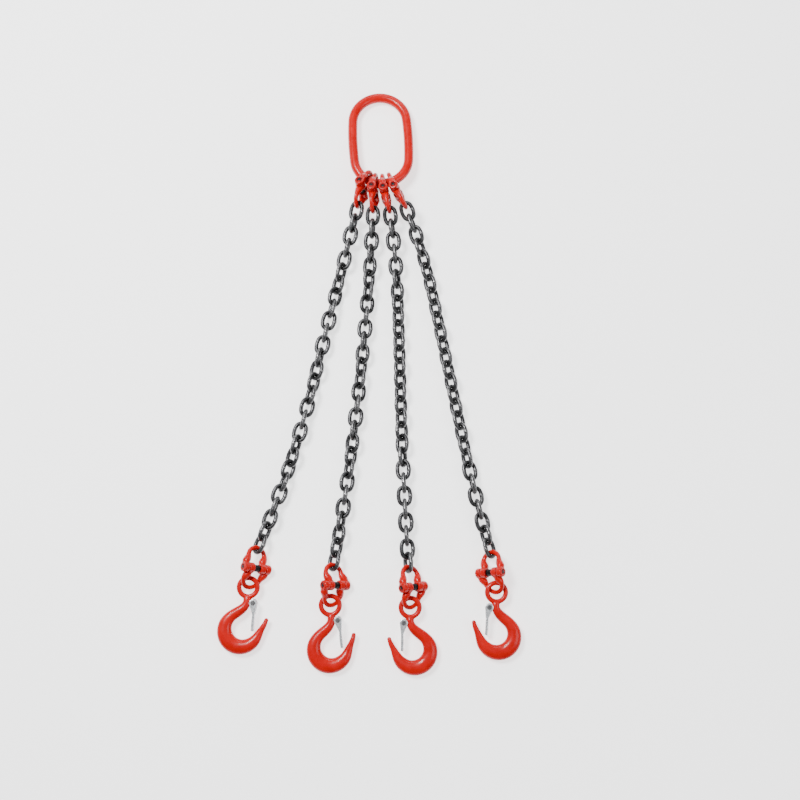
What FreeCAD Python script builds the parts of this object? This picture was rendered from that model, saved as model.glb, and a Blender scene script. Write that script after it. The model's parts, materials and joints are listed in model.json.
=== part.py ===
import FreeCAD, Part
import math
import os

from FreeCAD import Placement, Rotation, Vector

# Four leg chain sling, laid out flat on the ground.
# +X is to the right, +Y runs from the hooks towards the master link, +Z is up.
# Each piece is modelled in its own frame: X along its length, Y across it, Z out of its plane.

# ---- driving dimensions, millimetres and degrees -------------------------------------------

WIRE = 7.8  # chain wire diameter
LINK_LENGTH = 40.05  # outer length of one chain link
LINK_WIDTH = 29.4  # outer width of one chain link
LINK_END_RADIUS = 10.0  # centre line radius of a link's two ends
LINKS_PER_LEG = 28
LINKS_PER_RUN = 7  # links that share one node
LINK_SLACK = 0.5  # free gap between two links
SLACK = 0.3  # and where other loops bear on each other
RING_SLACK = 0.9  # and where a coupling hangs askew on the master link

RING_WIRE = 18.0  # master link
RING_LENGTH = 197.0
RING_WIDTH = 124.0
RING_END_RADIUS = 51.5
RING_CENTRE = Vector(-37.0, 499.5, 0)
RING_TURN = 2.9
RING_LOW_Z = 9.1  # height of the wire's centre at the far end
RING_HIGH_Z = 24.5  # and where the four couplings hold it up

LOOP_WIRE = 8.5  # coupling half: one U-shaped forging with two lugs
LOOP_RADIUS = 17.0  # centre line radius of the U
LOOP_REACH = 38.0  # pin axis to the centre line of the U's far end
LUG_RADIUS = 8.3
ARM_RADIUS = 6.7  # where a horn-like arm runs into its lug
LUG_ROOT = 6.4  # inner face of the inner lug, from the middle of the pin
LUG_SPLIT = 17.45  # where an inner lug meets the other half's outer lug
LUG_END = 29.0
LUG_GAP = 0.3
PIN_RADIUS = 4.5
PIN_PLAY = 0.05
PIN_END = 28.3
SLEEVE_RADIUS = 6.2

EYE_RADIUS = 16.5  # hook: centre line of its eye
EYE_WIRE = 9.0
BOWL_CENTRE = 72.7  # distance of the bowl's centre from the eye's centre
BOWL_RADIUS = 19.8
BACK_CENTRE = Vector(78.5, -4.1, 0)  # centre of the outer edge's circle
BACK_RADIUS = 40.6
HOOK_THICKNESS = 19.0
EYE_OFFSET = 16.5  # how far the coupling's loop reaches past the eye's near wire

LATCH_PIVOT = Vector(26.6, 12.7, 0)
LATCH_LENGTH = 50.0
LATCH_SLANT = 5.4
LATCH_SHEET = 1.5
LATCH_HALF_WIDTH = 7.4  # outer face of a cheek, from the hook's mid-plane
LATCH_PIN_RADIUS = 2.5
BOSS_RADIUS = 5.8
BOSS_HALF_WIDTH = 3.9
SPRING_WIRE = 1.2
SPRING_RADIUS = 4.0

# How the upper couplings stand on the master link, legs 1 to 4 from the left:
# place round the ring's end, direction of each half in plan, and lean of the pin.
RING_PLACES = (-31.0, -13.5, 4.5, 23.2)
UPPER_HEADINGS = (-28.0, -8.0, 7.0, 22.0)
UPPER_BENDS = (13.0, 6.0, 6.0, 4.0)
UPPER_LEANS = (16.0, 9.0, 6.0, 10.0)
UPPER_PITCH = 14.0

# How each chain lies: its heading in plan, spread evenly along the leg, and its twist about
# its own length as (link number, degrees) with straight changes between.
HEADINGS = (
    (-14.0, -13.6, -12.6, -17.2, -22.0),
    (-3.0, -4.2, -5.8, -7.5, -10.0),
    (8.0, 2.0, 1.4, 2.5, 3.5),
    (22.0, 11.5, 11.0, 11.5, 15.5),
)
TWISTS = (
    ((1, 18), (4, 0), (10, 85), (12, 90), (28, 316)),
    ((1, 18), (3, 0), (9, 82), (11, 100), (26, 305), (28, 316)),
    ((1, 18), (4, 0), (8, 45), (18, 50), (22, 0), (26, 0), (28, -28)),
    ((1, 18), (2, 18), (5, 45), (20, 45), (23, 85), (25, 85), (28, 44)),
)
FIRST_SLOPE = -14.0  # slope of the first link down from its coupling
DESCENT_LINKS = 6  # links over which a chain comes down from its coupling to the ground
LIFT_LINKS = 3  # links over which its far end climbs to the lower coupling
END_LIFT = 3.0
GROUND_PLAY = 0.05

# Lower couplings and hooks.
LOWER_ROLLS = (-40.0, -40.0, -40.0, 40.0)
LOWER_HEADINGS = (-8.0, 0.5, 6.0, 3.0)
LOWER_PIN_Z = 24.0  # the lower lug of a rolled coupling rests on the ground
LOWER_CROWN_Z = 12.6  # its loop through the hook's eye
LOWER_LEFT_LUG = (1, -1, 1, -1)  # 1 where the chain half has its outer lug on the left
HOOK_HEADINGS = (-7.2, 2.5, 2.8, -0.9)
HOOK_SIDES = (1, 1, -1, -1)  # 1 where the tip points right
HOOK_EYE_Z = 15.6
BOWL_REST = 106.0  # where the bowl rests on the ground, from the eye's centre

LEGS = range(4)
UP = Vector(0, 0, 1)


# ---- directions and placements -------------------------------------------------------------

def direction(heading, slope=0.0):
    """Unit vector pointing down the sling, turned by heading towards +X and raised by slope."""
    h, s = math.radians(heading), math.radians(slope)
    return Vector(math.sin(h) * math.cos(s), -math.cos(h) * math.cos(s), math.sin(s))


def across(along, roll):
    """Width direction of a piece that runs along a vector, rolled about it by roll degrees."""
    side = UP.cross(along).normalize()
    top = along.cross(side)
    r = math.radians(roll)
    return side * math.cos(r) + top * math.sin(r)


def seat(origin, along, width):
    """Placement whose X axis is along, Y axis is width and origin is origin."""
    x, y = Vector(along).normalize(), Vector(width).normalize()
    return Placement(origin, Rotation(x, y, x.cross(y), "XYZ"))


def turned(vector, axis, degrees):
    return Rotation(axis, degrees).multVec(vector)


def interpolate(knots, at):
    """Value at a place on a line of (place, value) knots."""
    for (p, a), (q, b) in zip(knots, knots[1:]):
        if at <= q:
            return a + (b - a) * (at - p) / (q - p)
    return knots[-1][1]


# ---- shapes of single pieces ---------------------------------------------------------------

def arc_tube(centre, radius, start, sweep, wire_radius):
    """Round bar bent to an arc in the XY plane."""
    a = math.radians(start)
    out = Vector(math.cos(a), math.sin(a), 0)
    tangent = Vector(-math.sin(a), math.cos(a), 0)
    ring = Part.Circle(centre + out * radius, tangent, wire_radius)
    disc = Part.Face(Part.Wire(ring.toShape()))
    return disc.revolve(centre, UP, sweep)


def oval_loop(length, width, end_radius, wire):
    """Closed loop of round bar: two end arcs joined by two flatter side arcs."""
    half, wide = (length - wire) / 2, (width - wire) / 2
    end = half - end_radius
    side_radius = (end**2 + wide**2 - end_radius**2) / (2 * (wide - end_radius))
    lean = math.degrees(math.atan2(side_radius - wide, end))
    low = Vector(0, wide - side_radius, 0)
    parts = [
        arc_tube(Vector(end, 0, 0), end_radius, -lean, 2 * lean, wire / 2),
        arc_tube(low, side_radius, lean, 180 - 2 * lean, wire / 2),
        arc_tube(Vector(-end, 0, 0), end_radius, 180 - lean, 2 * lean, wire / 2),
        arc_tube(-low, side_radius, 180 + lean, 180 - 2 * lean, wire / 2),
    ]
    return parts[0].fuse(parts[1:]).removeSplitter().Solids[0]


def bar(start, end, start_radius, end_radius):
    """Round bar between two points with ball ends, tapered where its radii differ."""
    run = end - start
    if abs(start_radius - end_radius) < 1e-6:
        middle = Part.makeCylinder(start_radius, run.Length, start, run)
    else:
        middle = Part.makeCone(start_radius, end_radius, run.Length, start, run)
    return [middle, Part.makeSphere(start_radius, start), Part.makeSphere(end_radius, end)]


def turned_ring(points, axis_at=Vector(0, 0, 0)):
    """Solid of revolution about a line along Y, from (radius, place along Y) points."""
    outline = Part.makePolygon([axis_at + Vector(r, y, 0) for r, y in points + points[:1]])
    return Part.Face(outline).revolve(axis_at, Vector(0, 1, 0), 360)


def lug(inner, outer, rounding):
    """Lug of a coupling half round the pin's axis, with its outer edge rounded."""
    bore = PIN_RADIUS + PIN_PLAY
    sign = 1 if outer > inner else -1
    shoulder = outer - sign * rounding
    points = [(bore, inner), (LUG_RADIUS - 0.5, inner), (LUG_RADIUS, inner + sign * 0.5)]
    for step in range(5):
        a = math.radians(22.5 * step)
        points.append((LUG_RADIUS - 0.7 * rounding * (1 - math.cos(a)),
                       shoulder + sign * rounding * math.sin(a)))
    points.append((bore, outer))
    return turned_ring(points)


def coupling_half():
    """Half of a connecting link: a U with an outer lug at +Y and an inner lug at -Y."""
    r = LOOP_WIRE / 2
    bend = LOOP_REACH - LOOP_RADIUS
    outer_y = (LUG_SPLIT + LUG_END) / 2
    inner_y = -(LUG_ROOT + LUG_SPLIT) / 2
    pieces = [arc_tube(Vector(bend, 0, 0), LOOP_RADIUS, -90, 180, r)]
    for side, lug_y in ((1, outer_y - 0.6), (-1, inner_y)):
        top = Vector(bend, side * LOOP_RADIUS, 0)
        elbow = Vector(11.0, (0.3 * side * LOOP_RADIUS + 0.7 * lug_y), 0)
        root = Vector(4.0, lug_y, 0)
        pieces += bar(top, elbow, r, ARM_RADIUS - 0.6)
        pieces += bar(elbow, root, ARM_RADIUS - 0.6, ARM_RADIUS)
    pieces.append(lug(LUG_SPLIT + LUG_GAP / 2, LUG_END, 3.4))
    pieces.append(lug(-LUG_ROOT, -LUG_SPLIT + LUG_GAP / 2, 0.6))
    body = pieces[0].fuse(pieces[1:])
    room = LUG_RADIUS + LUG_GAP
    along_y = Vector(0, 1, 0)
    clear = [
        Part.makeCylinder(PIN_RADIUS + PIN_PLAY, 2 * LUG_END, Vector(0, -LUG_END, 0), along_y),
        Part.makeCylinder(room, LUG_END, Vector(0, -LUG_SPLIT - LUG_END, 0), along_y),
        Part.makeCylinder(room, LUG_SPLIT + LUG_ROOT, Vector(0, -LUG_ROOT, 0), along_y),
    ]
    return body.cut(clear).removeSplitter().Solids[0]


def pin_set():
    """Load pin with its spring sleeve between the lugs, as two solids along Y."""
    chamfer = 0.8
    pin = turned_ring([(0, -PIN_END), (PIN_RADIUS - chamfer, -PIN_END),
                       (PIN_RADIUS, -PIN_END + chamfer), (PIN_RADIUS, PIN_END - chamfer),
                       (PIN_RADIUS - chamfer, PIN_END), (0, PIN_END)])
    half = LUG_ROOT - LUG_GAP
    hole = PIN_RADIUS + PIN_PLAY
    sleeve = turned_ring([(hole, -half), (SLEEVE_RADIUS - 0.6, -half),
                          (SLEEVE_RADIUS, -half + 0.6), (SLEEVE_RADIUS, half - 0.6),
                          (SLEEVE_RADIUS - 0.6, half), (hole, half)])
    return Part.makeCompound([pin, sleeve])


def bowl_section(angle):
    """Section of the bowl at an angle round its centre, 0 at the bottom, + towards the tip."""
    a = math.radians(angle)
    out = Vector(math.cos(a), math.sin(a), 0)
    middle = Vector(BOWL_CENTRE, 0, 0)
    offset = BACK_CENTRE - middle
    reach = offset.dot(out)
    outer = reach + math.sqrt(BACK_RADIUS**2 - offset.Length**2 + reach**2)
    inner = BOWL_RADIUS + 2.6 * max(0.0, (angle - 35) / 38) ** 1.5
    fade = max(0.0, (angle - 20) / 53)
    thickness = HOOK_THICKNESS - 8.0 * fade - 4.5 * max(0.0, (-70 - angle) / 60)
    return middle + out * (inner + outer) / 2, out, outer - inner, thickness


def hook_body():
    """Eye hook without its latch: round eye, neck, bowl and tip, with the latch's boss."""
    stations = [
        (Vector(16.0, 1.2, 0), Vector(0.0, -1, 0), 16.0, 8.6),
        (Vector(22.5, 1.2, 0), Vector(-0.08, -1, 0), 13.5, 11.5),
        (Vector(29.5, 0.2, 0), Vector(-0.35, -0.94, 0), 14.0, 12.5),
        (Vector(38.5, -5.4, 0), Vector(-0.62, -0.78, 0), 16.6, 14.0),
    ]
    bowl = [bowl_section(angle) for angle in (-130, -108, -84, -60, -36, -12, 12, 34, 54, 73)]
    tip = [
        (Vector(70.2, 34.0, 0), Vector(0.50, 0.86, 0), 10.4, 9.4),
        (Vector(61.6, 37.7, 0), Vector(0.34, 0.94, 0), 6.8, 7.4),
        (Vector(54.0, 39.8, 0), Vector(0.24, 0.97, 0), 4.8, 5.6),
    ]
    sections = []
    for centre, out, width, thickness in stations + bowl + tip:
        sections.append(section_wire(centre, out, width, thickness))
    body = Part.makeLoft(sections, True, False)
    eye = Part.makeTorus(EYE_RADIUS, EYE_WIRE / 2)
    tip_ball = Part.makeSphere(2.75, Vector(53.6, 39.9, 0))
    boss = Part.makeCylinder(BOSS_RADIUS, 2 * BOSS_HALF_WIDTH,
                             LATCH_PIVOT - UP * BOSS_HALF_WIDTH, UP)
    stem = Part.makeBox(9.0, LATCH_PIVOT.y, 2 * BOSS_HALF_WIDTH,
                        Vector(LATCH_PIVOT.x - 4.5, 0, -BOSS_HALF_WIDTH))
    eye_hole = Part.makeCylinder(EYE_RADIUS - EYE_WIRE / 2, 40, Vector(0, 0, -20), UP)
    pin_hole = Part.makeCylinder(LATCH_PIN_RADIUS + PIN_PLAY, 40, LATCH_PIVOT - UP * 20, UP)
    hook = body.cut(eye_hole).fuse([eye, tip_ball, boss, stem])
    return hook.cut(pin_hole).Solids[0]


def section_wire(centre, out, width, thickness):
    """Oval section as four arcs' worth of one smooth closed curve, starting at the inner edge."""
    points = []
    across_bar = Vector(out).normalize()
    for step in range(16):
        a = 2 * math.pi * step / 16
        points.append(centre - across_bar * (width / 2 * math.cos(a))
                      + UP * (thickness / 2 * math.sin(a)))
    curve = Part.BSplineCurve()
    curve.interpolate(points, PeriodicFlag=True)
    return Part.Wire(curve.toShape())


def latch():
    """Pressed safety latch: a channel with two cheeks that straddle the hook's boss.

    Its frame starts at the pivot, with X along the blade and Y towards the hook's tip.
    """
    face = LATCH_HALF_WIDTH - LATCH_SHEET
    outline = [(2.0, 7.0), (20.0, 4.2), (LATCH_LENGTH - 1.0, 3.2), (LATCH_LENGTH - 1.0, 0.6),
               (20.0, 0.2), (4.0, -6.1)]
    corners = [Vector(x, y, 0) for x, y in outline + outline[:1]]
    cheek = Part.Face(Part.makePolygon(corners)).extrude(UP * LATCH_SHEET)
    cheek = cheek.fuse(Part.makeCylinder(7.3, LATCH_SHEET))
    cheeks = [cheek.translated(UP * face), cheek.translated(UP * -LATCH_HALF_WIDTH)]
    web = Part.makeBox(LATCH_LENGTH - 10.0, LATCH_SHEET, 2 * LATCH_HALF_WIDTH,
                       Vector(9.0, 1.7, -LATCH_HALF_WIDTH))
    hole = Part.makeCylinder(LATCH_PIN_RADIUS + PIN_PLAY, 40, Vector(0, 0, -20), UP)
    return web.fuse(cheeks).cut(hole).removeSplitter().Solids[0]


def latch_pin():
    """Rivet through the latch and the hook's boss, with two low round heads."""
    head = 1.1
    pin = Part.makeCylinder(LATCH_PIN_RADIUS, 2 * LATCH_HALF_WIDTH + 0.4,
                            Vector(0, 0, -LATCH_HALF_WIDTH - 0.2), UP)
    heads = [Part.makeCone(4.2, 3.2, head, UP * (LATCH_HALF_WIDTH + 0.15), UP),
             Part.makeCone(4.2, 3.2, head, UP * (-LATCH_HALF_WIDTH - 0.15), -UP)]
    return pin.fuse(heads).removeSplitter().Solids[0]


def latch_spring():
    """Torsion spring: one coil each side of the boss, each with a leg along the neck."""
    sides = []
    z = (BOSS_HALF_WIDTH + LATCH_HALF_WIDTH - LATCH_SHEET) / 2
    for sign in (1, -1):
        coil = Part.makeTorus(SPRING_RADIUS, SPRING_WIRE / 2, UP * (sign * z))
        foot = Vector(0, -SPRING_RADIUS, sign * z)
        leg = Part.makeCylinder(SPRING_WIRE / 2, 6.0, foot, Vector(1, 0, 0))
        sides.append(coil.fuse(leg).Solids[0])
    return Part.makeCompound(sides)


# ---- how the pieces lie --------------------------------------------------------------------

def ring_slope():
    span = RING_LENGTH - RING_WIRE
    return math.degrees(math.asin((RING_HIGH_Z - RING_LOW_Z) / span))


def ring_seat():
    """The master link's X axis points towards the hooks."""
    middle = Vector(RING_CENTRE.x, RING_CENTRE.y, (RING_LOW_Z + RING_HIGH_Z) / 2)
    along = direction(RING_TURN, ring_slope())
    return seat(middle, along, across(along, 0))


def ring_point(place):
    """Point on the centre line of the master link's lower end."""
    end = (RING_LENGTH - RING_WIRE) / 2 - RING_END_RADIUS
    a = math.radians(place - RING_TURN)
    local = Vector(end + RING_END_RADIUS * math.cos(a), RING_END_RADIUS * math.sin(a), 0)
    return ring_seat().multVec(local)


def touch(wire_a, wire_b, slack=SLACK):
    """Distance between the centre lines of two bars that bear on each other."""
    return (wire_a + wire_b) / 2 + slack


def upper_coupling(leg):
    """Pin centre, pin axis, direction towards the ring and direction towards the chain."""
    along = direction(UPPER_HEADINGS[leg], UPPER_PITCH)
    pin_axis = across(along, 90 + UPPER_LEANS[leg])
    hold = LOOP_REACH - touch(RING_WIRE, LOOP_WIRE, RING_SLACK)
    pin = ring_point(RING_PLACES[leg]) + along * hold
    chain_way = turned(along, pin_axis, UPPER_BENDS[leg])
    return pin, pin_axis, -along, chain_way


def ground_height(roll):
    """Height of a link's axis when it rests on the ground rolled by roll degrees."""
    wide = (LINK_WIDTH - WIRE) / 2
    return wide * abs(math.sin(math.radians(roll))) + WIRE / 2 + GROUND_PLAY


def link_roll(leg, number):
    return 90.0 * (number - 1) + interpolate(TWISTS[leg], number)


def link_heading(leg, number):
    values = HEADINGS[leg]
    step = (LINKS_PER_LEG - 1) / (len(values) - 1)
    knots = [(1 + step * i, value) for i, value in enumerate(values)]
    return interpolate(knots, number)


def loop_bearing(pin, way, pin_axis, pull):
    """Centre line point of a coupling's loop where a chain that pulls along pull bears."""
    middle = pin + way * (LOOP_REACH - LOOP_RADIUS)
    in_plane = way * pull.dot(way) + pin_axis * pull.dot(pin_axis)
    return middle + in_plane.normalize() * LOOP_RADIUS


def chain_links(leg):
    """Centre, direction and roll of every link of a leg, from the coupling to the hook."""
    reach = (LINK_LENGTH - WIRE) / 2 - touch(WIRE, WIRE, LINK_SLACK) / 2
    pin, pin_axis, _, chain_way = upper_coupling(leg)
    along = direction(link_heading(leg, 1), FIRST_SLOPE)
    bearing = loop_bearing(pin, chain_way, pin_axis, along)
    centre = bearing + along * ((LINK_LENGTH - WIRE) / 2 - touch(LOOP_WIRE, WIRE))
    links = [(centre, along, link_roll(leg, 1))]
    joint = centre + along * reach
    top = joint.z
    for number in range(2, LINKS_PER_LEG + 1):
        rolls = [link_roll(leg, n) for n in (number, min(number + 1, LINKS_PER_LEG))]
        ground = max(ground_height(roll) for roll in rolls)
        left = max(0.0, 1 - (number - 1) / DESCENT_LINKS)
        climb = max(0.0, 1 - (LINKS_PER_LEG - number) / LIFT_LINKS)
        height = ground + (top - ground) * left**1.6 + END_LIFT * climb
        rise = math.degrees(math.asin((height - joint.z) / (2 * reach)))
        along = direction(link_heading(leg, number), rise)
        centre = joint + along * reach
        links.append((centre, along, rolls[0]))
        joint = centre + along * reach
    return links


def lower_coupling(leg):
    """Pin centre, pin axis, direction towards the chain and direction towards the hook."""
    centre, along, _ = chain_links(leg)[-1]
    flat = direction(LOWER_HEADINGS[leg])
    pin_axis = across(flat, LOWER_ROLLS[leg])
    out = flat.cross(pin_axis)
    held = centre + along * ((LINK_LENGTH - WIRE) / 2 - touch(WIRE, LOOP_WIRE))
    fall = math.asin((LOWER_PIN_Z - LOWER_CROWN_Z) / (LOOP_REACH * out.z))
    down_hook = flat * math.cos(fall) - out * math.sin(fall)
    rise = 0.0
    for _ in range(12):
        up_chain = flat * -math.cos(rise) - out * math.sin(rise)
        pin = held - loop_bearing(Vector(), up_chain, pin_axis, -along)
        rise += (LOWER_PIN_Z - pin.z) / LOOP_REACH
    return pin, pin_axis, up_chain, down_hook


def hook_seat(leg):
    """The hook's frame starts at its eye's centre, with X towards the bowl."""
    pin, _, _, down_hook = lower_coupling(leg)
    crown = pin + down_hook * LOOP_REACH
    dip = math.asin((HOOK_EYE_Z - HOOK_THICKNESS / 2 - GROUND_PLAY) / BOWL_REST)
    along = direction(HOOK_HEADINGS[leg], -math.degrees(dip))
    eye = crown + along * (EYE_RADIUS - EYE_OFFSET)
    eye.z = HOOK_EYE_Z
    return seat(eye, along, across(along, 0) * HOOK_SIDES[leg])


def latch_seat(leg):
    local = Placement(LATCH_PIVOT, Rotation(UP, LATCH_SLANT))
    return hook_seat(leg).multiply(local)


def half_seat(pin, pin_axis, way, outer_lug):
    """Seat of a coupling half whose outer lug is at the outer_lug end of the pin's axis."""
    return seat(pin, way, pin_axis * outer_lug)


# ---- the whole sling -----------------------------------------------------------------------

def placed(shape, placement):
    copy = shape.copy()
    copy.Placement = placement
    return copy


def sling():
    """Every node of the sling by name, before it is moved to its origin."""
    link = oval_loop(LINK_LENGTH, LINK_WIDTH, LINK_END_RADIUS, WIRE)
    half = coupling_half()
    pin = pin_set()
    hook = hook_body()
    hook_latch, rivet, spring = latch(), latch_pin(), latch_spring()
    ring = oval_loop(RING_LENGTH, RING_WIDTH, RING_END_RADIUS, RING_WIRE)
    nodes = {"master_link": placed(ring, ring_seat())}
    for leg in LEGS:
        name = f"leg_{leg + 1}_"
        at, axis, ring_way, chain_way = upper_coupling(leg)
        nodes[name + "upper_ring_half"] = placed(half, half_seat(at, axis, ring_way, 1))
        nodes[name + "upper_chain_half"] = placed(half, half_seat(at, axis, chain_way, -1))
        nodes[name + "upper_pin"] = placed(pin, seat(at, chain_way, axis))
        links = chain_links(leg)
        for run in range(LINKS_PER_LEG // LINKS_PER_RUN):
            some = links[run * LINKS_PER_RUN:(run + 1) * LINKS_PER_RUN]
            solids = [placed(link, seat(c, u, across(u, roll))) for c, u, roll in some]
            nodes[f"{name}chain_{run + 1}"] = Part.makeCompound(solids)
        at, axis, up_way, hook_way = lower_coupling(leg)
        left = -LOWER_LEFT_LUG[leg]
        nodes[name + "lower_chain_half"] = placed(half, half_seat(at, axis, up_way, left))
        nodes[name + "lower_hook_half"] = placed(half, half_seat(at, axis, hook_way, -left))
        nodes[name + "lower_pin"] = placed(pin, seat(at, hook_way, axis))
        nodes[name + "hook"] = placed(hook, hook_seat(leg))
        nodes[name + "latch"] = placed(hook_latch, latch_seat(leg))
        nodes[name + "latch_pin"] = placed(rivet, latch_seat(leg))
        nodes[name + "latch_spring"] = placed(spring, latch_seat(leg))
    return nodes


def origin_shift(nodes):
    """Move that puts the origin under the middle of the sling, on the ground."""
    box = FreeCAD.BoundBox()
    for shape in nodes.values():
        box.add(shape.optimalBoundingBox(False))
    return Vector(-(box.XMin + box.XMax) / 2, -(box.YMin + box.YMax) / 2, -box.ZMin)


def main():
    os.makedirs("parts", exist_ok=True)
    nodes = sling()
    shift = origin_shift(nodes)
    for name, shape in nodes.items():
        shape.translated(shift).exportStep(os.path.join("parts", name + ".step"))
    print("nodes", len(nodes), "shift", shift)


if __name__ == "__main__":
    main()
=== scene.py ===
"""Looks of the four leg chain sling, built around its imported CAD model."""
import json
import math
from functools import partial

import bpy
import numpy as np
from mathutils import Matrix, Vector

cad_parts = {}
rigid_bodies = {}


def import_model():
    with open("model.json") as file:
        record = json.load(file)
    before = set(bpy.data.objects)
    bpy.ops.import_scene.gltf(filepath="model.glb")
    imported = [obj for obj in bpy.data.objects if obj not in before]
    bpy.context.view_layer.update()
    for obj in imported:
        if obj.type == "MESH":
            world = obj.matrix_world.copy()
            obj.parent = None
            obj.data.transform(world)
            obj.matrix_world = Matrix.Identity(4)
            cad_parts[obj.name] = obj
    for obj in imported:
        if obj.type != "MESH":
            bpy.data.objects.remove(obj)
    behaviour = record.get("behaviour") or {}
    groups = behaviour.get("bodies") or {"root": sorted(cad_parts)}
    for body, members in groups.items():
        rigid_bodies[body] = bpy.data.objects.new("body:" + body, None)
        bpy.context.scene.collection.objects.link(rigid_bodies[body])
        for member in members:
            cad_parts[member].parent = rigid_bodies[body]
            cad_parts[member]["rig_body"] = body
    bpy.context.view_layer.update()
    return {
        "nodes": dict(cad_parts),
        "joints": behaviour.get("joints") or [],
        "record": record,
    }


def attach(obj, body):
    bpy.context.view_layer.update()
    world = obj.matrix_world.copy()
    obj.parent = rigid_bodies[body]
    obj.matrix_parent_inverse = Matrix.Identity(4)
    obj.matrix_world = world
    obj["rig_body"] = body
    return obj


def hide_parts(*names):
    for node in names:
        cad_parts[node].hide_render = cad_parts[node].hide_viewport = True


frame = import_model()

MM = 0.001
LEGS = (1, 2, 3, 4)
RUNS = (1, 2, 3, 4)
JOINTS = {j["name"]: j for j in frame["joints"]}
CENTRE = Vector((0.0549, -0.0509, 0.0))  # the point the camera looks at, on the floor

# ---------------------------------------------------------------- camera
CAMERA_DISTANCE = 2.2
CAMERA_ELEVATION = math.radians(80)
CAMERA_LENS = 53.5
CAMERA_SENSOR = 36.0

camera_data = bpy.data.cameras.new("camera")
camera_data.lens = CAMERA_LENS
camera_data.sensor_width = CAMERA_SENSOR
camera = bpy.data.objects.new("camera", camera_data)
back = Vector((0, -math.cos(CAMERA_ELEVATION), math.sin(CAMERA_ELEVATION)))
camera.location = CENTRE + back * CAMERA_DISTANCE
camera.rotation_mode = "QUATERNION"
camera.rotation_quaternion = (-back).to_track_quat("-Z", "Y")
bpy.context.scene.collection.objects.link(camera)
bpy.context.scene.camera = camera


# ---------------------------------------------------------------- materials
RED = ((0.42, 0.0004, 0.0002), (0.52, 0.0008, 0.0004))  # base colours, darkest first
THIN_RED = (0.14, 0.0006, 0.0004)
RED_OVER_BLACK = (0.3, 0.001, 0.0006)
RUBBED_PAINT = (0.035, 0.03, 0.03)
OXIDE = ((0.025, 0.025, 0.027), (0.1, 0.1, 0.103))
# rubbed steel, also used as a painted highlight on the links' outer crests
BRIGHT_STEEL_AND_SHEEN = (0.36, 0.355, 0.36)
# near black laid on the links' ends as painted shade
SHADE_BLACK = (0.006, 0.006, 0.006)
ZINC = ((0.74, 0.76, 0.78), (0.86, 0.88, 0.9))
BLACK = ((0.008, 0.008, 0.009), (0.03, 0.03, 0.032))
RIVET_GREY = ((0.10, 0.10, 0.105), (0.22, 0.22, 0.225))
PALE = ((0.86, 0.86, 0.865), (0.88, 0.88, 0.88))
MIX_COLOURS = slice(6, 8)  # which sockets of a mix node take and give colours
MIX_RESULT = 2


class Nodes:
    """Short calls for building a material's node tree."""

    def __init__(self, name):
        self.material = bpy.data.materials.new(name)
        self.material.use_nodes = True
        self.tree = self.material.node_tree
        self.shader = self.tree.nodes["Principled BSDF"]
        self.place = self.tree.nodes.new("ShaderNodeTexCoord").outputs["Object"]

    def set(self, **values):
        """Sets the shader's own inputs, with _ for the spaces in their names."""
        for name, value in values.items():
            self.shader.inputs[name.replace("_", " ")].default_value = value

    def link(self, source, target):
        self.tree.links.new(source, target)

    def noise(self, scale, detail=3.0, roughness=0.5):
        """Noise from 0 to 1, with scale in waves per metre."""
        node = self.tree.nodes.new("ShaderNodeTexNoise")
        node.inputs["Scale"].default_value = scale
        node.inputs["Detail"].default_value = detail
        node.inputs["Roughness"].default_value = roughness
        self.link(self.place, node.inputs["Vector"])
        return node.outputs["Fac"]

    def attribute(self, name):
        """A value stored on the mesh's points, 0 where a mesh has none."""
        node = self.tree.nodes.new("ShaderNodeAttribute")
        node.attribute_name = name
        return node.outputs["Fac"]

    def ramp(self, value, low, high, start=0.0, end=1.0):
        """Maps low to start and high to end."""
        node = self.tree.nodes.new("ShaderNodeMapRange")
        node.inputs["From Min"].default_value = low
        node.inputs["From Max"].default_value = high
        node.inputs["To Min"].default_value = start
        node.inputs["To Max"].default_value = end
        self.link(value, node.inputs["Value"])
        return node.outputs["Result"]

    def math(self, operation, a, b):
        node = self.tree.nodes.new("ShaderNodeMath")
        node.operation = operation
        for socket, value in zip(node.inputs, (a, b)):
            if isinstance(value, (int, float)):
                socket.default_value = value
            else:
                self.link(value, socket)
        return node.outputs[0]

    def blend(self, factor, a, b):
        node = self.tree.nodes.new("ShaderNodeMix")
        node.data_type = "RGBA"
        self.link(factor, node.inputs["Factor"])
        for socket, value in zip(node.inputs[MIX_COLOURS], (a, b)):
            if isinstance(value, tuple):
                socket.default_value = (*value, 1)
            else:
                self.link(value, socket)
        return node.outputs[MIX_RESULT]

    def bump(self, height, distance, strength, under=None):
        """Relief of a height in metres, on top of the one under it."""
        node = self.tree.nodes.new("ShaderNodeBump")
        node.inputs["Distance"].default_value = distance
        node.inputs["Strength"].default_value = strength
        self.link(height, node.inputs["Height"])
        if under is not None:
            self.link(under, node.inputs["Normal"])
        return node.outputs["Normal"]


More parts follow.
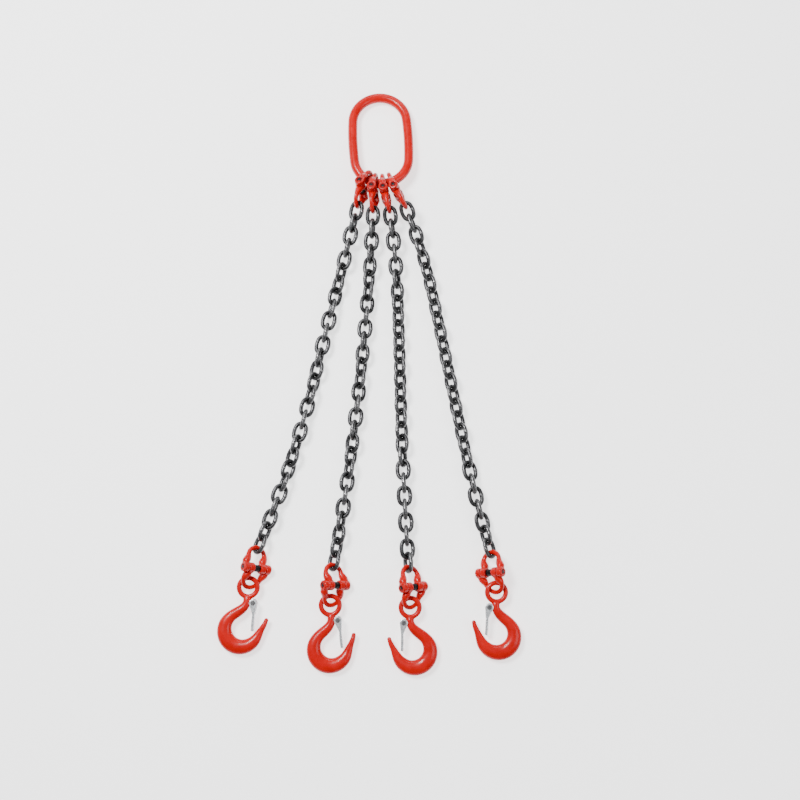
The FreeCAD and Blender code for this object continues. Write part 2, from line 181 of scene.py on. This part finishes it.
def red_enamel():
    """Glossy red enamel sprayed over a forging, thin and dark where it is rubbed."""
    m = Nodes("red_enamel")
    m.set(Metallic=0.0, Specular_IOR_Level=0.22, Coat_Weight=0.1, Coat_Roughness=0.08)
    tone = m.ramp(m.noise(45, 3), 0.3, 0.7)
    paint = m.blend(tone, *RED)
    thin = m.ramp(m.noise(150, 4, 0.6), 0.62, 0.74)
    paint = m.blend(m.math("MULTIPLY", thin, 0.15), paint, THIN_RED)
    rubbed = m.math("MULTIPLY", m.attribute("wear_and_sheen"), m.ramp(m.noise(420, 4, 0.65), 0.42, 0.56))
    m.link(m.blend(rubbed, paint, RUBBED_PAINT), m.shader.inputs["Base Color"])
    rough = m.ramp(m.noise(90, 3), 0.3, 0.7, 0.22, 0.36)
    m.link(m.math("ADD", rough, m.math("MULTIPLY", rubbed, 0.25)), m.shader.inputs["Roughness"])
    dents = m.bump(m.noise(110, 3), 0.6 * MM, 0.18)
    peel = m.bump(m.noise(700, 2), 0.1 * MM, 0.12, dents)
    m.link(peel, m.shader.inputs["Normal"])
    return m.material


def chain_steel():
    """Alloy steel with a thin dark oxide, brighter where the links rub, with a painted highlight
    along the links' outer crests and painted shade at their ends.
    """
    m = Nodes("chain_steel")
    m.set(Metallic=0.9, Specular_IOR_Level=0.5)
    mottle = m.ramp(m.noise(160, 5, 0.65), 0.32, 0.68)
    oxide = m.blend(mottle, *OXIDE)
    # brighter at the welds as rubbed steel, and along the outer crests partly as rubbed steel
    # and partly as a painted highlight
    bright = m.math("MULTIPLY", m.attribute("wear_and_sheen"), m.ramp(m.noise(520, 4, 0.6), 0.35, 0.6))
    steel = m.blend(bright, oxide, BRIGHT_STEEL_AND_SHEEN)
    # painted shade: the links' ends go towards near black, most of all on their inside
    painted_shade = m.math("MULTIPLY", m.attribute("painted_shade"), m.ramp(m.noise(330, 4), 0.2, 0.5, 0.7, 1))
    m.link(m.blend(painted_shade, steel, SHADE_BLACK), m.shader.inputs["Base Color"])
    rough = m.ramp(m.noise(240, 4), 0.3, 0.7, 0.26, 0.46)
    m.link(m.math("ADD", rough, m.math("MULTIPLY", painted_shade, 0.3)), m.shader.inputs["Roughness"])
    scale = m.bump(m.noise(900, 3), 0.12 * MM, 0.45)
    m.link(m.bump(m.noise(180, 3), 0.4 * MM, 0.3, scale), m.shader.inputs["Normal"])
    return m.material


def zinc():
    """Bright zinc plate on pressed sheet."""
    m = Nodes("zinc")
    m.set(Metallic=0.85)
    tone = m.ramp(m.noise(230, 4), 0.3, 0.7)
    m.link(m.blend(tone, *ZINC), m.shader.inputs["Base Color"])
    m.link(m.ramp(m.noise(400, 3), 0.3, 0.7, 0.22, 0.4), m.shader.inputs["Roughness"])
    m.link(m.bump(m.noise(600, 3), 0.1 * MM, 0.3), m.shader.inputs["Normal"])
    return m.material


def dark_steel(name, tones, rough):
    """Oiled steel between two tones, painted over at the rims of pins."""
    m = Nodes(name)
    m.set(Metallic=0.9)
    tone = m.ramp(m.noise(300, 4), 0.35, 0.65)
    painted = m.blend(m.attribute("paint"), m.blend(tone, *tones), RED_OVER_BLACK)
    m.link(painted, m.shader.inputs["Base Color"])
    m.link(m.ramp(m.noise(500, 3), 0.3, 0.7, rough, rough + 0.15), m.shader.inputs["Roughness"])
    m.link(m.bump(m.noise(800, 3), 0.08 * MM, 0.4), m.shader.inputs["Normal"])
    return m.material


FINISHES = {
    "red_enamel": red_enamel(),
    "chain_steel": chain_steel(),
    "zinc": zinc(),
    "black_steel": dark_steel("black_steel", BLACK, 0.38),
    "rivet_steel": dark_steel("rivet_steel", RIVET_GREY, 0.34),
}
SLOT_OF = {s["node"]: s["material_slot"] for s in frame["record"]["subparts"]}
for name, node in frame["nodes"].items():
    node.data.materials.clear()
    node.data.materials.append(FINISHES[SLOT_OF[name]])

# ---------------------------------------------------------------- chain links
WIRE = 7.8 * MM  # a link is an oblong of round wire with a weld on one side
LINK_HALF_LENGTH = (40.05 * MM - WIRE) / 2
LINK_HALF_WIDTH = (29.4 * MM - WIRE) / 2
LINK_END_RADIUS = 10.0 * MM
LINK_SIDES = 22  # points round the wire
END_STEPS = 18  # rings of points on each end, on the side with the weld and on the other
WELD_SIDE_STEPS = 26
PLAIN_SIDE_STEPS = 12
WELD_BULGE = 0.42 * MM
WELD_REACH = 2.1 * MM
GROOVE_DEPTH = 0.25 * WELD_BULGE
GROOVE_PLACE = 1.7 * WELD_REACH
GROOVE_REACH = 0.5 * WELD_REACH
CREST_WEAR_AND_SHEEN = 0.45  # how bright the outside of a link is made, from 0 to 1, partly as rubbed steel and partly as a painted highlight
CREST_SHARPNESS = 6
WELD_WEAR = 0.5
CROWN_SHADE = 0.9  # how dark with painted shade a link's ends are, most of all on their inside
SHADE_MEAN = 0.55
SHADE_SWING = 0.75
WELD_SIDE_HINT = (0.35, 0.1, 1.0)  # chain links show their welds towards here
SAME_POINT = 1e6  # CAD points that agree to a micrometre are one point

# ---------------------------------------------------------------- forgings, latches and pins
PIN_BORE = 4.6 * MM  # clear radius kept round a load pin
RIVET_BORE = 2.58 * MM
GROUND = 0.05 * MM  # no blended piece reaches lower
SMOOTHING_SHARE = 0.5  # of the way to its neighbours' mean that a point goes each round

HALF_GRAIN = (0.8 * MM, 9)  # voxel size and rounds of smoothing
HOOK_GRAIN = (0.9 * MM, 6)
LATCH_GRAIN = (0.45 * MM, 6)

EDGE_ROUNDS = 3  # edges are found against the surface smoothed this many times
EDGE_WEAR_FROM = 0.35
EDGE_WEAR_SPAN = 0.5
EDGE_WEAR_MOST = 0.3
BORE_WEAR_REACH = 0.35  # as a share of the bore's radius
BORE_WEAR_MOST = 0.6

UPPER_ARM_SWELL = 1.1 * MM  # how far the pieces stand out, and between which reaches
LOWER_ARM_SWELL = 1.7 * MM
ARM_GROWS = (8 * MM, 14 * MM)
ARM_FADES = (16 * MM, 28 * MM)
LUG_SWELL = 0.9 * MM
LUG_GROWS = (6 * MM, 7.5 * MM)
LUG_FADES = (8.5 * MM, 13 * MM)
LUG_PLAY = 0.2 * MM
LUG_FLAT = (0.5, 0.9)  # how square to the pin a lug's face is, from its edge to its flat
NECK_SWELL = 0.35 * MM
NECK_GROWS = (17 * MM, 24 * MM)
TIP_SWELL = 1.1 * MM
TIP_GROWS = (22 * MM, 34 * MM)
TIP_FADES = (58 * MM, 74 * MM)
PIVOT_ANGLE = math.atan2(12.7, 26.6)  # of the latch's pivot, from the hook's length

BLADE_SPREAD = 2.0 * MM
BLADE_GROWS = (10 * MM, 40 * MM)
BLADE_BEND = 1.4 * MM
BLADE_BENDS = (14 * MM, 49 * MM)
BLADE_END = 0.95  # share of a latch's reach that counts as its end

PIN_SIDES = 32
PIN_END = 28.3 * MM  # half the load pin's length
# radius and drop below the pin's end, in mm
PIN_DOME = ((0.02, 0), (2.4, 0), (3.3, 0.12), (3.9, 0.45), (4.3, 1.0), (4.45, 1.7), (4.5, 2.6))
PIN_PAINTED = 26.5 * MM  # the ends past this are painted over
PIN_PAINT_GROWS = (2.9 * MM, 3.5 * MM)
# radius and place along the pin of the sleeve's outline, in mm
SLEEVE_PROFILE = ((4.6, 6.1), (5.6, 6.1), (6.05, 5.95), (6.2, 5.5), (6.2, -5.5), (6.05, -5.95),
                  (5.6, -6.1), (4.6, -6.1), (4.6, 6.1))
ANY_WAY = (0.3, 0.5, 0.8)  # not along any pin


def stand_in(name, mesh, node):
    """Puts a mesh in place of a CAD node, on the same body and with the same finish."""
    mesh.shade_smooth()
    mesh.materials.clear()
    mesh.materials.append(FINISHES[SLOT_OF[node]])
    piece = bpy.data.objects.new(name, mesh)
    bpy.context.scene.collection.objects.link(piece)
    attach(piece, frame["nodes"][node]["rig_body"])
    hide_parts(node)


def new_mesh(name, points, faces):
    mesh = bpy.data.meshes.new(name)
    mesh.from_pydata(points, [], faces)
    mesh.update()
    return mesh


def mark(mesh, name, values):
    """Stores how rubbed or lit by a painted highlight, how darkened by painted shade, or how
    painted each point is, from 0 to 1, for its material.
    """
    mesh.attributes.new(name, "FLOAT", "POINT").data.foreach_set(
        "value", np.clip(values, 0, 1).astype(np.float32))


def mesh_arrays(mesh):
    """Points of a mesh and the pairs of points that its edges join."""
    points = np.zeros(len(mesh.vertices) * 3)
    mesh.vertices.foreach_get("co", points)
    edges = np.zeros(len(mesh.edges) * 2, int)
    mesh.edges.foreach_get("vertices", edges)
    return points.reshape(-1, 3), edges.reshape(-1, 2)


def move_points(mesh, points):
    mesh.vertices.foreach_set("co", points.ravel())
    mesh.update()


def neighbour_mean(points, edges):
    """Mean of each point's neighbours along the mesh's edges."""
    ends = np.concatenate([edges[:, 0], edges[:, 1]])
    other = np.concatenate([edges[:, 1], edges[:, 0]])
    count = np.bincount(ends, minlength=len(points))
    return np.stack([np.bincount(ends, points[other, k], len(points)) / count
                     for k in range(3)], axis=1)


def from_line(points, joint):
    """Offsets of points from a joint's axis."""
    start, axis = np.array(JOINTS[joint]["pos_m"]), np.array(JOINTS[joint]["axis"])
    return points - start - np.outer((points - start) @ axis, axis)


def between(values, low, high):
    """0 below low, 1 above high and smooth in between."""
    t = np.clip((values - low) / (high - low), 0, 1)
    return t * t * (3 - 2 * t)


def voxel_mesh(node, voxel):
    """The surface of a CAD node rebuilt from even cells."""
    source = bpy.data.objects.new("source", frame["nodes"][node].data.copy())
    bpy.context.scene.collection.objects.link(source)
    remesh = source.modifiers.new("remesh", "REMESH")
    remesh.mode = "VOXEL"
    remesh.voxel_size = voxel
    evaluated = source.evaluated_get(bpy.context.evaluated_depsgraph_get())
    mesh = bpy.data.meshes.new_from_object(evaluated)
    bpy.data.objects.remove(source)
    return mesh


def blended(node, grain, joint, bore, reshape):
    """Piece with blended edges in place of a CAD node, open round a joint's bore.

    reshape gives each point's move from its place and normal, to make up for what the
    smoothing takes off and to fill out the shape.
    """
    voxel, rounds = grain
    mesh = voxel_mesh(node, voxel)
    points, edges = mesh_arrays(mesh)
    for _ in range(rounds):
        points += SMOOTHING_SHARE * (neighbour_mean(points, edges) - points)
    move_points(mesh, points)
    normals = np.zeros(len(points) * 3)
    mesh.vertex_normals.foreach_get("vector", normals)
    normals = normals.reshape(-1, 3)

    points += reshape(points, normals)
    offset = from_line(points, joint)
    reach = np.linalg.norm(offset, axis=1)
    tight = reach < bore
    points[tight] += offset[tight] * (bore / reach[tight] - 1)[:, None]
    points[:, 2] = np.maximum(points[:, 2], GROUND)
    move_points(mesh, points)

    smoother = points
    for _ in range(EDGE_ROUNDS):
        smoother = neighbour_mean(smoother, edges)
    convex = ((points - smoother) * normals).sum(1) / voxel
    edge_wear = np.clip((convex - EDGE_WEAR_FROM) / EDGE_WEAR_SPAN, 0, EDGE_WEAR_MOST)
    reach = np.linalg.norm(from_line(points, joint), axis=1)
    bore_wear = np.clip(1 - (reach - bore) / (BORE_WEAR_REACH * bore), 0, BORE_WEAR_MOST)
    mark(mesh, "wear_and_sheen", np.maximum(edge_wear, bore_wear))
    stand_in(node + "_blended", mesh, node)


def link_outline():
    """Centre line of a link as (point, outward direction, distance from the weld, crown).

    crown goes from 0 on the sides to 1 at the middle of each end.
    """
    end = LINK_HALF_LENGTH - LINK_END_RADIUS
    wide = LINK_HALF_WIDTH
    radius = (end**2 + wide**2 - LINK_END_RADIUS**2) / (2 * (wide - LINK_END_RADIUS))
    lean = math.atan2(radius - wide, end)
    side_span = math.pi - 2 * lean
    arcs = (
        (Vector((end, 0)), LINK_END_RADIUS, -lean, 2 * lean, END_STEPS),
        (Vector((0, wide - radius)), radius, lean, side_span, WELD_SIDE_STEPS),
        (Vector((-end, 0)), LINK_END_RADIUS, math.pi - lean, 2 * lean, END_STEPS),
        (Vector((0, radius - wide)), radius, math.pi + lean, side_span, PLAIN_SIDE_STEPS),
    )
    outline = []
    for number, (middle, size, first, span, steps) in enumerate(arcs):
        for step in range(steps):
            angle = first + span * step / steps
            out = Vector((math.cos(angle), math.sin(angle)))
            point = middle + out * size
            weld = abs(point.x) if number == 1 else math.inf
            crown = max(0.0, abs(point.x) - end) / LINK_END_RADIUS if number % 2 == 0 else 0.0
            outline.append((point, out, weld, crown))
    return outline


def link_shape():
    """One link: points, faces, wear with a painted highlight, and painted shade, X along it and
    its weld at +Y.
    """
    points, faces, wear_and_sheen, painted_shade = [], [], [], []
    outline = link_outline()
    for point, out, weld, crown in outline:
        bead = WELD_BULGE * math.exp(-((weld / WELD_REACH) ** 2))
        groove = GROOVE_DEPTH * math.exp(-(((weld - GROOVE_PLACE) / GROOVE_REACH) ** 2))
        size = WIRE / 2 + bead - groove
        for side in range(LINK_SIDES):
            angle = 2 * math.pi * side / LINK_SIDES
            flat, up = math.cos(angle) * size, math.sin(angle) * size
            points.append((point.x + out.x * flat, point.y + out.y * flat, up))
            # the outer crest is brighter, partly as rubbed steel and partly as a painted
            # highlight
            crest = CREST_WEAR_AND_SHEEN * max(0.0, math.cos(angle)) ** CREST_SHARPNESS
            wear_and_sheen.append(crest + WELD_WEAR * bead / WELD_BULGE)
            # painted shade at the ends, darker on the inside where the next link sits
            painted_shade.append(CROWN_SHADE * crown * (SHADE_MEAN - SHADE_SWING * math.cos(angle)))
    for ring in range(len(outline)):
        here, there = ring * LINK_SIDES, (ring + 1) % len(outline) * LINK_SIDES
        for side in range(LINK_SIDES):
            after = (side + 1) % LINK_SIDES
            faces.append((here + side, there + side, there + after, here + after))
    return np.array(points), np.array(faces), np.array(wear_and_sheen), np.array(painted_shade)


def loose_parts(mesh):
    """The triangles of each separate closed solid in a CAD mesh, as arrays of corner points."""
    points, edges = mesh_arrays(mesh)
    rounded = np.round(points * SAME_POINT).astype(int)
    keys = np.unique(rounded, axis=0, return_inverse=True)[1].ravel()
    label = np.arange(keys.max() + 1)
    pairs = keys[edges]
    settled = False
    while not settled:
        low = np.minimum(label[pairs[:, 0]], label[pairs[:, 1]])
        before = label.copy()
        np.minimum.at(label, pairs[:, 0], low)
        np.minimum.at(label, pairs[:, 1], low)
        label = label[label]
        settled = (label == before).all()
    mesh.calc_loop_triangles()
    triangles = np.zeros(len(mesh.loop_triangles) * 3, int)
    mesh.loop_triangles.foreach_get("vertices", triangles)
    triangles = triangles.reshape(-1, 3)
    owner = label[keys[triangles[:, 0]]]
    return [points[triangles[owner == part]] for part in np.unique(owner)]


def solid_frame(corners):
    """Centre and principal directions (longest first) of a closed solid.

    Both come from the signed volumes of the cones from a point to each surface triangle.
    """
    a, b, c = corners[:, 0], corners[:, 1], corners[:, 2]
    volume = np.einsum("ij,ij->i", a, np.cross(b, c)) / 6
    total = volume.sum()
    centre = (volume[:, None] * (a + b + c)).sum(0) / (4 * total)
    a, b, c = a - centre, b - centre, c - centre
    volume = np.einsum("ij,ij->i", a, np.cross(b, c)) / 6
    spread = np.einsum("n,ni,nj->ij", volume, a + b + c, a + b + c)
    for corner in (a, b, c):
        spread = spread + np.einsum("n,ni,nj->ij", volume, corner, corner)
    vectors = np.linalg.eigh(spread / (20 * total))[1]
    along, across = vectors[:, 2], vectors[:, 1]
    if along[1] > 0:
        along = -along
    if across @ WELD_SIDE_HINT < 0:
        across = -across
    return centre, np.stack([along, across, np.cross(along, across)])


def chain_run(node, shape):
    """Welded links in place of a chain node's plain ones."""
    link_points, link_faces, link_wear_and_sheen, link_shade = shape
    points, faces = [], []
    parts = loose_parts(frame["nodes"][node].data)
    for number, corners in enumerate(parts):
        centre, axes = solid_frame(corners)
        points.append(centre + link_points @ axes)
        faces.append(link_faces + number * len(link_points))
    mesh = new_mesh(node + "_links", np.concatenate(points), np.concatenate(faces).tolist())
    mark(mesh, "wear_and_sheen", np.tile(link_wear_and_sheen, len(parts)))
    mark(mesh, "painted_shade", np.tile(link_shade, len(parts)))
    stand_in(node + "_links", mesh, node)


def coupling_swell(points, normals, pin, arm_swell):
    """A coupling's arms and lugs are fuller than plain bars, but its lugs' flats stay flat."""
    reach = np.linalg.norm(from_line(points, pin), axis=1)
    arms = arm_swell * between(reach, *ARM_GROWS) * (1 - between(reach, *ARM_FADES))
    flat = between(np.abs(normals @ np.array(JOINTS[pin]["axis"])), *LUG_FLAT)
    lugs = LUG_SWELL * (1 - flat) * between(reach, *LUG_GROWS) - LUG_PLAY * flat
    lugs *= 1 - between(reach, *LUG_FADES)
    return normals * (arms + lugs)[:, None]


def hook_swell(points, normals, leg):
    """A hook's neck, bowl and above all its blunt tip stand out, and its eye doesn't."""
    eye = np.array(JOINTS[f"leg_{leg}_hook_turn"]["pos_m"])
    pivot = JOINTS[f"leg_{leg}_latch_press"]
    up = -np.array(pivot["axis"])
    to_pivot = np.array(pivot["pos_m"]) - eye
    to_pivot -= (to_pivot @ up) * up
    to_pivot /= np.linalg.norm(to_pivot)
    down = math.cos(PIVOT_ANGLE) * to_pivot - math.sin(PIVOT_ANGLE) * np.cross(up, to_pivot)
    along, side = (points - eye) @ down, (points - eye) @ np.cross(up, down)
    tip = between(side, *TIP_GROWS) * (1 - between(along, *TIP_FADES))
    neck = between(np.linalg.norm(points - eye, axis=1), *NECK_GROWS)
    return normals * (NECK_SWELL * neck + TIP_SWELL * tip)[:, None]


def blade_spread(points, _, joint):
    """A latch's blade stays broad down to its end, on the side away from the hook's tip."""
    offset = from_line(points, joint)
    reach = np.linalg.norm(offset, axis=1)
    along = offset[reach > BLADE_END * reach.max()].mean(0)
    along /= np.linalg.norm(along)
    inward = np.cross(along, -np.array(JOINTS[joint]["axis"]))
    x, y = offset @ along, offset @ inward
    middle = -BLADE_BEND * (1 - between(x, *BLADE_BENDS))
    lower = np.clip((y - middle) / BLADE_BEND, 0, 1)
    return np.outer(BLADE_SPREAD * lower * between(x, *BLADE_GROWS), inward)


def turned(profile, joint):
    """Points and faces of a shape turned round a joint's axis, from (radius, place along it)."""
    start, axis = np.array(JOINTS[joint]["pos_m"]), np.array(JOINTS[joint]["axis"])
    side = np.cross(axis, ANY_WAY)
    side /= np.linalg.norm(side)
    front = np.cross(axis, side)
    points, faces = [], []
    for radius, place in profile:
        for step in range(PIN_SIDES):
            turn = 2 * math.pi * step / PIN_SIDES
            points.append(start + axis * place
                          + radius * (math.cos(turn) * side + math.sin(turn) * front))
    for ring in range(len(profile) - 1):
        here, there = ring * PIN_SIDES, (ring + 1) * PIN_SIDES
        for step in range(PIN_SIDES):
            after = (step + 1) % PIN_SIDES
            faces.append((here + step, there + step, there + after, here + after))
    return points, faces


def pin_set(node, joint):
    """Load pin with domed ends, painted over at their rims, and its black sleeve."""
    ends = [(radius * MM, PIN_END - drop * MM) for radius, drop in PIN_DOME]
    pin = ends + [(radius, -place) for radius, place in reversed(ends)]
    sleeve = [(radius * MM, place * MM) for radius, place in SLEEVE_PROFILE]
    points, faces = turned(pin, joint)
    sleeve_points, sleeve_faces = turned(sleeve, joint)
    faces += [tuple(len(points) + k for k in face) for face in sleeve_faces]
    mesh = new_mesh(node + "_domed", points + sleeve_points, faces)
    radii, places = np.repeat(np.array(pin + sleeve), PIN_SIDES, axis=0).T
    mark(mesh, "paint", between(radii, *PIN_PAINT_GROWS) * (abs(places) > PIN_PAINTED))
    stand_in(node + "_domed", mesh, node)


COUPLINGS = (
    ("upper", ("upper_ring_half", "upper_chain_half"), UPPER_ARM_SWELL),
    ("lower", ("lower_chain_half", "lower_hook_half"), LOWER_ARM_SWELL),
)
one_link = link_shape()
for leg in LEGS:
    for run in RUNS:
        chain_run(f"leg_{leg}_chain_{run}", one_link)
    for level, halves, arm_swell in COUPLINGS:
        pin = f"leg_{leg}_{level}_pin_turn"
        for half in halves:
            blended(f"leg_{leg}_{half}", HALF_GRAIN, pin, PIN_BORE,
                    partial(coupling_swell, pin=pin, arm_swell=arm_swell))
    rivet = f"leg_{leg}_latch_press"
    blended(f"leg_{leg}_hook", HOOK_GRAIN, rivet, RIVET_BORE, partial(hook_swell, leg=leg))
    blended(f"leg_{leg}_latch", LATCH_GRAIN, rivet, RIVET_BORE,
            partial(blade_spread, joint=rivet))
    for level, _, _ in COUPLINGS:
        pin_set(f"leg_{leg}_{level}_pin", f"leg_{leg}_{level}_pin_turn")

# ---------------------------------------------------------------- stage
FLOOR_HALF = 7.0
FLOOR_GAP = 0.5 * MM
FLOOR_GLOW = 1.7
WORLD_COLOUR = (0.95, 0.97, 1.0, 1)
WORLD_STRENGTH = 0.3
SOFT_LIGHTS = (  # name, place, width and height, power
    ("key", (-1.2, 0.9, 2.6), (0.9, 0.9), 150),
    ("fill", (1.8, -0.6, 2.0), (1.4, 1.4), 24),
    ("rim", (0.2, 2.4, 1.4), (2.0, 0.8), 24),
)


def floor_material():
    """Pale floor that glows a little, as a lit backdrop does."""
    m = Nodes("pale_floor")
    tone = m.ramp(m.noise(1.5, 2), 0.3, 0.7)
    m.link(m.blend(tone, *PALE), m.shader.inputs["Base Color"])
    m.set(Roughness=0.8, Emission_Color=(1.0, 1.0, 1.0, 1.0), Emission_Strength=FLOOR_GLOW)
    return m.material


def soft_light(name, place, size, power):
    """Rectangular light that points at the middle of the object."""
    data = bpy.data.lights.new(name, "AREA")
    data.shape = "RECTANGLE"
    data.size, data.size_y = size
    data.energy = power
    lamp = bpy.data.objects.new(name, data)
    lamp.location = place
    lamp.rotation_mode = "QUATERNION"
    lamp.rotation_quaternion = (-Vector(place)).to_track_quat("-Z", "Y")
    bpy.context.scene.collection.objects.link(lamp)


floor_mesh = new_mesh("floor", [(x * FLOOR_HALF, y * FLOOR_HALF, 0) for x, y in
                                ((-1, -1), (1, -1), (1, 1), (-1, 1))], [(0, 1, 2, 3)])
floor_mesh.materials.append(floor_material())
floor = bpy.data.objects.new("floor", floor_mesh)
floor.location = CENTRE - Vector((0, 0, FLOOR_GAP))
bpy.context.scene.collection.objects.link(floor)

world = bpy.data.worlds.new("studio")
world.use_nodes = True
background = world.node_tree.nodes["Background"]
background.inputs["Color"].default_value = WORLD_COLOUR
background.inputs["Strength"].default_value = WORLD_STRENGTH
bpy.context.scene.world = world

for light in SOFT_LIGHTS:
    soft_light(*light)
